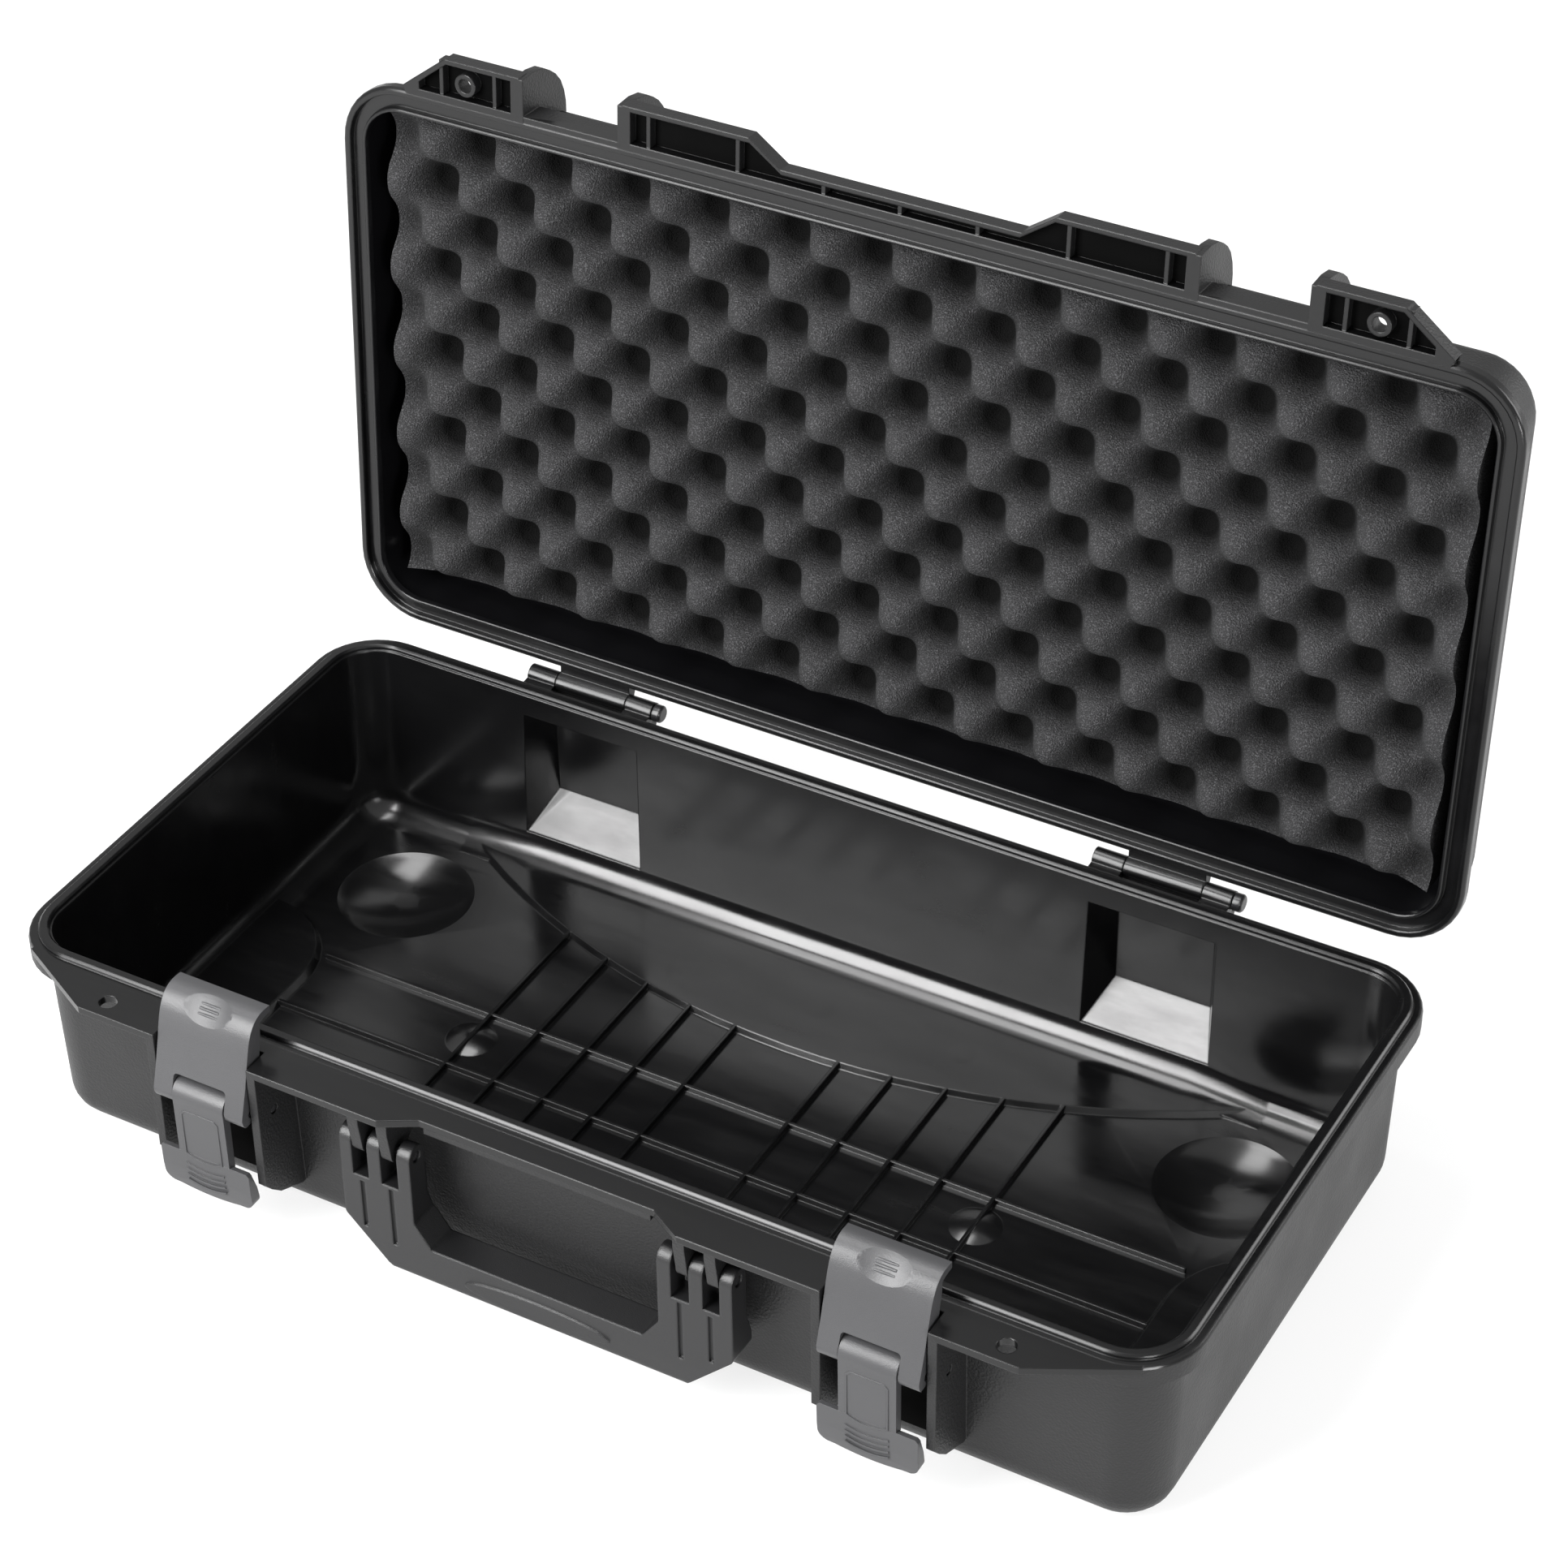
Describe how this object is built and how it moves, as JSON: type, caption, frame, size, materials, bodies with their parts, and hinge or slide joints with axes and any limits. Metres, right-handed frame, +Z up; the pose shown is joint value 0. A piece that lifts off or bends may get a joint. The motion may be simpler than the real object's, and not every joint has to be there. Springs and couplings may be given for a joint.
{
  "type": "hard equipment case",
  "caption": "Hard plastic equipment case with a hinged lid lined with egg-crate foam, over-centre latches, drop-down carry handle and a rectangular tub with a ribbed floor.",
  "frame": {"origin": "middle of the flat underside of the base, on the face the case stands on", "axes": "+X along the long side to the viewer's right when facing the handle, -Y out of the front with the handle and latches, +Z up"},
  "size_m": [0.49, 0.3152, 0.3502],
  "materials": {
    "base_plastic": "semi-gloss black moulded plastic, grained on the outside",
    "lid_plastic": "semi-gloss black moulded plastic",
    "foam": "open-cell charcoal foam",
    "handle_plastic": "satin black plastic",
    "latch_plastic": "fine-grained satin black plastic",
    "pin_plastic": "black plastic pin",
    "hinge_pin_plastic": "glossy black plastic pin"
  },
  "bodies": {
    "base": {"base_shell": "base_plastic", "handle_pin_left": "pin_plastic", "handle_pin_right": "pin_plastic", "latch_base_pin_left": "pin_plastic", "latch_base_pin_right": "pin_plastic", "hinge_pin_left": "hinge_pin_plastic", "hinge_pin_right": "hinge_pin_plastic"},
    "lid": {"lid_shell": "lid_plastic", "lid_foam": "foam"},
    "handle": {"carry_handle": "handle_plastic"},
    "lever_left": {"latch_lever_left": "latch_plastic", "latch_hook_pin_left": "pin_plastic"},
    "lever_right": {"latch_lever_right": "latch_plastic", "latch_hook_pin_right": "pin_plastic"},
    "hook_left": {"latch_hook_left": "latch_plastic"},
    "hook_right": {"latch_hook_right": "latch_plastic"}
  },
  "joints": [
    {"name": "lid_hinge", "type": "hinge", "parent": "base", "child": "lid", "pos_m": [0, 0.1269, 0.0863], "axis": [1, 0, 0], "range_deg": [0, 93.5]},
    {"name": "handle_hinge", "type": "hinge", "parent": "base", "child": "handle", "pos_m": [0, -0.1278, 0.067], "axis": [-1, 0, 0], "range_deg": [0, 95]},
    {"name": "latch_lever_hinge_left", "type": "hinge", "parent": "base", "child": "lever_left", "pos_m": [-0.1404, -0.1266, 0.0622], "axis": [-1, 0, 0], "range_deg": [0, 70]},
    {"name": "latch_lever_hinge_right", "type": "hinge", "parent": "base", "child": "lever_right", "pos_m": [0.1404, -0.1266, 0.0622], "axis": [-1, 0, 0], "range_deg": [0, 70]},
    {"name": "latch_hook_hinge_left", "type": "hinge", "parent": "lever_left", "child": "hook_left", "pos_m": [-0.1404, -0.1346, 0.0642], "axis": [1, 0, 0], "range_deg": [0, 98]},
    {"name": "latch_hook_hinge_right", "type": "hinge", "parent": "lever_right", "child": "hook_right", "pos_m": [0.1404, -0.1346, 0.0642], "axis": [1, 0, 0], "range_deg": [0, 98]}
  ],
  "couplings": [
    {"joint": "latch_hook_hinge_left", "follows": "latch_lever_hinge_left", "ratio": 1.4},
    {"joint": "latch_hook_hinge_right", "follows": "latch_lever_hinge_right", "ratio": 1.4}
  ]
}
